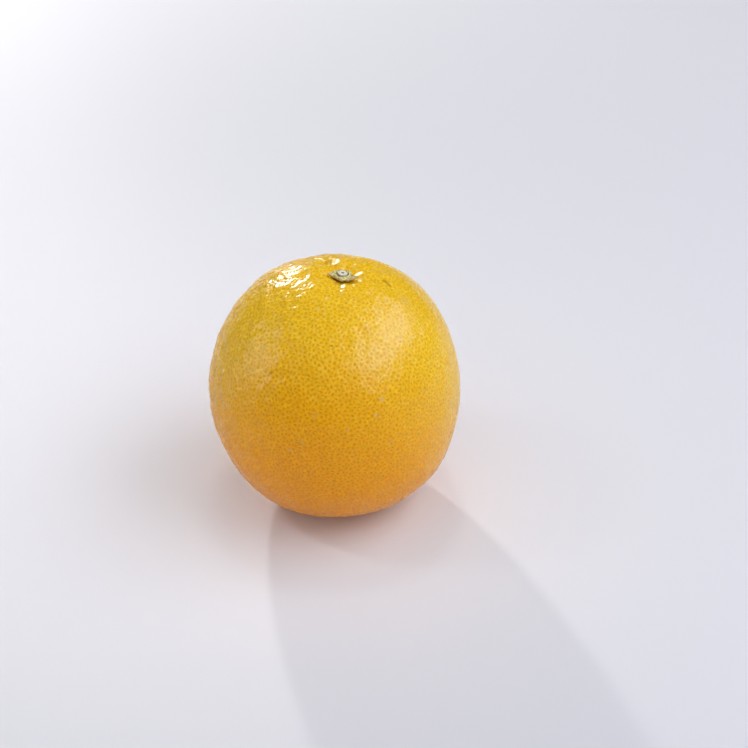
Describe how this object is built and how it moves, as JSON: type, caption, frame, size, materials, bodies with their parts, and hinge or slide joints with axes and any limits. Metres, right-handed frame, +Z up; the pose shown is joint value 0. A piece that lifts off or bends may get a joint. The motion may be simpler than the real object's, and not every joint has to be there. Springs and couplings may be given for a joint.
{
  "type": "navel orange",
  "caption": "Whole navel orange with pitted peel, a five-lobed calyx and cut stem stub on top, and a navel underneath, resting on a small flat spot.",
  "frame": {"origin": "on the resting plane, under the middle of the fruit's bounding box", "axes": "+Z up out of the stem end, -Z out of the flat resting spot round the navel; the picture looks along +Y with +X to its right"},
  "size_m": [0.0804, 0.08, 0.0818],
  "materials": {
    "orange_peel": "satin",
    "calyx_skin": "matte",
    "cut_stem": "matte"
  },
  "bodies": {
    "root": {"fruit": "orange_peel", "calyx": "calyx_skin", "stem_stub": "cut_stem"}
  },
  "joints": []
}
